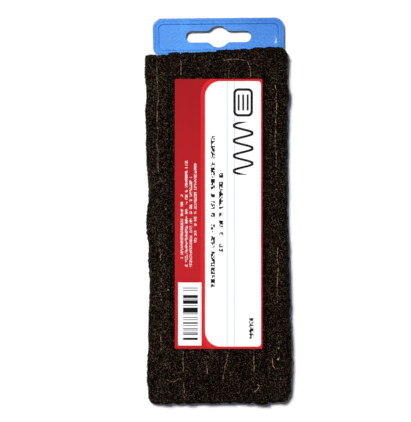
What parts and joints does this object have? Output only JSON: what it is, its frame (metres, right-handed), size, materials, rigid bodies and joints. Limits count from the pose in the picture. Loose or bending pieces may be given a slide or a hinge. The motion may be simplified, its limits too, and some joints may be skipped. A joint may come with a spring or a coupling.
{
  "type": "chalkboard eraser",
  "caption": "Long chalkboard eraser: pleated dark felt sewn to a base cloth and glued to a moulded plastic back with a hand grip and a hang tab, a paper label across the felt.",
  "frame": {"origin": "middle of the bounding box, at its foot, where the hand grip rests", "axes": "+Z out of the wiping side, +Y along the pleats to the hang tab, +X across the pleats"},
  "size_m": [0.0698, 0.1894, 0.0425],
  "materials": {
    "blue_plastic": "satin",
    "glue": "matte",
    "base_cloth": "matte",
    "felt": "matte",
    "seam_thread": "matte",
    "crest_thread": "matte",
    "label_paper": "satin"
  },
  "bodies": {
    "root": {"back_plate": "blue_plastic", "glue_bed": "glue", "base_cloth": "base_cloth", "felt_pleat_1": "felt", "seam_thread_1": "seam_thread", "crest_thread_1": "crest_thread", "felt_pleat_2": "felt", "seam_thread_2": "seam_thread", "crest_thread_2": "crest_thread", "felt_pleat_3": "felt", "seam_thread_3": "seam_thread", "crest_thread_3": "crest_thread", "felt_pleat_4": "felt", "seam_thread_4": "seam_thread", "crest_thread_4": "crest_thread", "felt_pleat_5": "felt", "seam_thread_5": "seam_thread", "crest_thread_5": "crest_thread", "felt_pleat_6": "felt", "seam_thread_6": "seam_thread", "crest_thread_6": "crest_thread", "label": "label_paper"}
  },
  "joints": []
}
